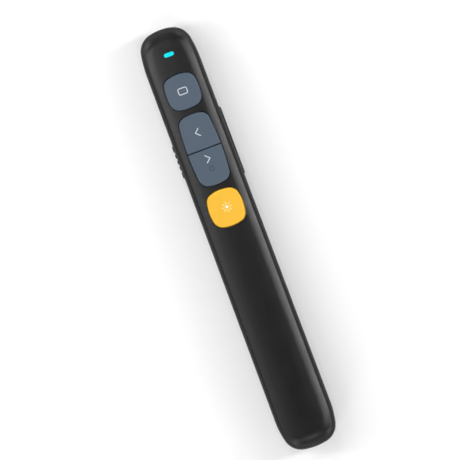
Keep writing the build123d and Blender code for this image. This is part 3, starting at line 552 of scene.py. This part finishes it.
def printSymbol(name, body, material, draw, symbol):
    sheet = bmesh.new()
    draw(sheet, fromKey(symbol["key"], symbol["from"]), symbol)
    pulled = bmesh.ops.extrude_face_region(sheet, geom=list(sheet.faces))
    sunk = [item for item in pulled["geom"] if isinstance(item, bmesh.types.BMVert)]
    bmesh.ops.translate(sheet, verts=sunk, vec=(0, 0, -(ink["above"] + ink["below"]) * mm))
    bmesh.ops.recalc_face_normals(sheet, faces=sheet.faces)
    mesh = bpy.data.meshes.new(name)
    sheet.to_mesh(mesh)
    sheet.free()
    mesh.materials.append(material)
    piece = bpy.data.objects.new(name, mesh)
    scene.collection.objects.link(piece)
    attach(piece, body)


paleInk = mouldedPlastic("paleInk", {
    **plasticBase, "colour": (0.6, 0.64, 0.67), "driftTo": 0.94, "speck": 0.3, "speckTo": 0.9,
    "roughness": (0.45, 0.55), "grainStrength": 0.1,
})
warmInk = mouldedPlastic("warmInk", {
    **plasticBase, "colour": (0.98, 0.72, 0.27), "driftTo": 0.97, "speck": 0.2, "speckTo": 0.97,
    "roughness": (0.5, 0.58), "grainStrength": 0.1,
})
brightInk = mouldedPlastic("brightInk", {
    **plasticBase, "colour": (0.96, 0.95, 0.9), "driftTo": 0.98, "speck": 0.2, "speckTo": 0.97,
    "roughness": (0.5, 0.58), "grainStrength": 0.1,
})
dimInk = mouldedPlastic("dimInk", {
    **plasticBase, "colour": (0.044, 0.058, 0.078), "driftTo": 0.94, "speck": 0.3,
    "roughness": (0.45, 0.55), "grainStrength": 0.1,
})

# "from" is each symbol's place, from the middle of its key
screenSymbol = {
    "key": "screen_key", "from": (0.05, 0.18),
    "wide": 3.1, "high": 2.15, "corner": 0.55, "cornerSteps": 6,
}
backArrow = {
    "key": "page_up_key", "from": (-0.25, -0.59), "reach": -0.7, "rise": 1.3, "line": 0.33,
}
onArrow = {
    "key": "page_down_key", "from": (0.04, 3.34), "reach": 0.7, "rise": 1.3, "line": 0.33,
}
ringSymbol = {
    "key": "page_down_key", "from": (0.05, -0.25), "radius": 0.76, "line": 0.34, "count": 32,
}
sunSymbol = {
    "key": "laser_key", "from": (0.3, 0.14), "dot": 0.46, "dotCount": 24,
    "rayFrom": 0.96, "rayTo": 1.7, "rays": 8, "line": 0.34,
}


def drawScreen(sheet, middle, symbol):
    drawLine(sheet, roundedFrame(middle, symbol), ink["line"], True)


def drawArrow(sheet, middle, symbol):
    reach, rise = symbol["reach"], symbol["rise"]
    arms = [middle + Vector(arm) for arm in ((-reach, rise), (reach, 0), (-reach, -rise))]
    drawLine(sheet, arms, symbol["line"])


def drawRing(sheet, middle, symbol):
    drawLine(sheet, ringOf(middle, symbol["radius"], symbol["count"]), symbol["line"], True)


def drawSunDot(sheet, middle, symbol):
    rim = ringOf(middle, symbol["dot"], symbol["dotCount"])
    sheet.faces.new([inkPoint(sheet, point) for point in rim])


def drawSunRays(sheet, middle, symbol):
    for i in range(symbol["rays"]):
        out = aimed(2 * pi * i / symbol["rays"])
        ray = [middle + out * symbol["rayFrom"], middle + out * symbol["rayTo"]]
        drawLine(sheet, ray, symbol["line"])


printSymbol("screen_symbol", "screen_button", paleInk, drawScreen, screenSymbol)
printSymbol("page_up_symbol", "page_up_button", paleInk, drawArrow, backArrow)
printSymbol("page_down_symbol", "page_down_button", paleInk, drawArrow, onArrow)
printSymbol("hold_ring_symbol", "page_down_button", dimInk, drawRing, ringSymbol)
printSymbol("laser_symbol_dot", "laser_button", brightInk, drawSunDot, sunSymbol)
printSymbol("laser_symbol_rays", "laser_button", warmInk, drawSunRays, sunSymbol)
print("symbols are printed")


# white floor and surround, and the softboxes
stageLook = {
    "floorHalf": 4.0,  # metres from its middle to each edge
    "floorColour": (0.92, 0.92, 0.92), "floorRoughness": 0.9, "floorSpecular": 0.0,
    "liftColour": (1.0, 1.0, 1.0), "floorLift": 0.1,  # glow of the floor where it is seen
    "surround": (1.0, 1.0, 1.0), "surroundGlow": 1.0,
    "wallTop": (0.1, 0.4),  # sine of the height at which the wall seen in gloss fades to dark
}
softboxes = {
    # name: (where it hangs in metres, wide and high in metres, power, what it is turned to)
    "rightLow": ((1.159, 0, 0.311), (1.6, 0.2), 7.24, (0, 0, 0)),
    "rightHigh": ((1.039, 0, 0.6), (1.6, 0.2), 6.60, (0, 0, 0)),
    "leftHigh": ((-0.919, 0, 0.771), (1.6, 0.25), 1.89, (0, 0, 0)),
    "noseLeft": ((-0.82, 0.82, 0.311), (0.5, 0.4), 3.47, (0, 0, 0)),
    "noseFront": ((0, 0.983, 0.688), (0.5, 0.4), 1.10, (0, 0, 0)),
    "noseUpper": ((0, 0.688, 0.983), (0.5, 0.4), 0.45, (0, 0, 0)),
    "noseRight": ((0.82, 0.82, 0.311), (0.5, 0.4), 1.89, (0, 0, 0)),
    "tailRight": ((0.82, -0.82, 0.311), (0.5, 0.4), 2.51, (0, 0, 0)),
    "tailFront": ((0, -0.983, 0.688), (0.5, 0.4), 0.58, (0, 0, 0)),
    "tailUpper": ((0, -0.688, 0.983), (0.5, 0.4), 2.43, (0, 0, 0)),
    "tailLeftLow": ((-0.82, -0.82, 0.311), (0.5, 0.4), 1.77, (0, 0, 0)),
    "tailLeft": ((-0.695, -0.695, 0.688), (0.5, 0.4), 1.95, (0, 0, 0)),
    "leftNoseLow": ((-0.42, 0.12, 0.2), (0.12, 0.12), 0.34, (0, 0.08, 0)),
    "leftNoseHigh": ((-0.34, 0.12, 0.34), (0.12, 0.12), 0.33, (0, 0.08, 0)),
    "leftNoseTop": ((-0.2, 0.12, 0.42), (0.12, 0.12), 0.28, (0, 0.08, 0)),
    "noseTop": ((0, 0.14, 0.45), (0.1, 0.1), 0.16, (0, 0.08, 0)),
}


def whereSeen(tree, strength, socket, inGloss=None):
    # a glow for the camera, for gloss and for clear parts only, so that it lights nothing
    path = addNode(tree, "ShaderNodeLightPath")
    gloss = path.outputs["Is Glossy Ray"]
    if inGloss:
        part = addNode(tree, "ShaderNodeMath", operation="MULTIPLY")
        tree.links.new(gloss, part.inputs[0])
        tree.links.new(inGloss, part.inputs[1])
        gloss = part.outputs["Value"]
    seen = path.outputs["Is Camera Ray"]
    for ray in (gloss, path.outputs["Is Transmission Ray"]):
        either = addNode(tree, "ShaderNodeMath", operation="MAXIMUM")
        tree.links.new(seen, either.inputs[0])
        tree.links.new(ray, either.inputs[1])
        seen = either.outputs["Value"]
    glow = addNode(tree, "ShaderNodeMath", operation="MULTIPLY")
    tree.links.new(seen, glow.inputs[0])
    glow.inputs[1].default_value = strength
    tree.links.new(glow.outputs["Value"], socket)


def whiteWall(tree, top):
    # 1 at the horizon, fading to 0 overhead: the ceiling over the white wall is dark
    around = addNode(tree, "ShaderNodeTexCoord")
    height = addNode(tree, "ShaderNodeSeparateXYZ")
    tree.links.new(around.outputs["Generated"], height.inputs["Vector"])
    fade = addNode(tree, "ShaderNodeMapRange", interpolation_type="SMOOTHSTEP")
    tree.links.new(height.outputs["Z"], fade.inputs["Value"])
    for name, value in zip(("From Min", "From Max", "To Min", "To Max"), (*top, 1.0, 0.0)):
        fade.inputs[name].default_value = value
    return fade.outputs["Result"]


def makeFloor(look):
    half = look["floorHalf"]
    corners = [(-half, -half, 0), (half, -half, 0), (half, half, 0), (-half, half, 0)]
    mesh = bpy.data.meshes.new("floor")
    mesh.from_pydata(corners, [], [(0, 1, 2, 3)])
    floor = bpy.data.objects.new("floor", mesh)
    scene.collection.objects.link(floor)
    material, tree, shader = newMaterial("paleFloor")
    shader.inputs["Base Color"].default_value = (*look["floorColour"], 1)
    shader.inputs["Roughness"].default_value = look["floorRoughness"]
    shader.inputs["Specular IOR Level"].default_value = look["floorSpecular"]
    shader.inputs["Emission Color"].default_value = (*look["liftColour"], 1)
    whereSeen(tree, look["floorLift"], shader.inputs["Emission Strength"])
    mesh.materials.append(material)


def hangSoftbox(name, place, size, power, aim):
    data = bpy.data.lights.new(name, "AREA")
    data.shape = "RECTANGLE"
    data.size, data.size_y = size
    data.energy = power
    lamp = bpy.data.objects.new(name, data)
    lamp.location = place
    lamp.rotation_euler = (Vector(aim) - Vector(place)).to_track_quat("-Z", "Z").to_euler()
    scene.collection.objects.link(lamp)


makeFloor(stageLook)
for boxName, boxValues in softboxes.items():
    hangSoftbox(boxName, *boxValues)
world = bpy.data.worlds.new("studio")
world.use_nodes = True
surround = world.node_tree.nodes["Background"]
surround.inputs["Color"].default_value = (*stageLook["surround"], 1)
wallTop = whiteWall(world.node_tree, stageLook["wallTop"])
whereSeen(world.node_tree, stageLook["surroundGlow"], surround.inputs["Strength"], wallTop)
scene.world = world
scene.view_settings.view_transform = "Standard"
print("floor is laid and lamps hang")
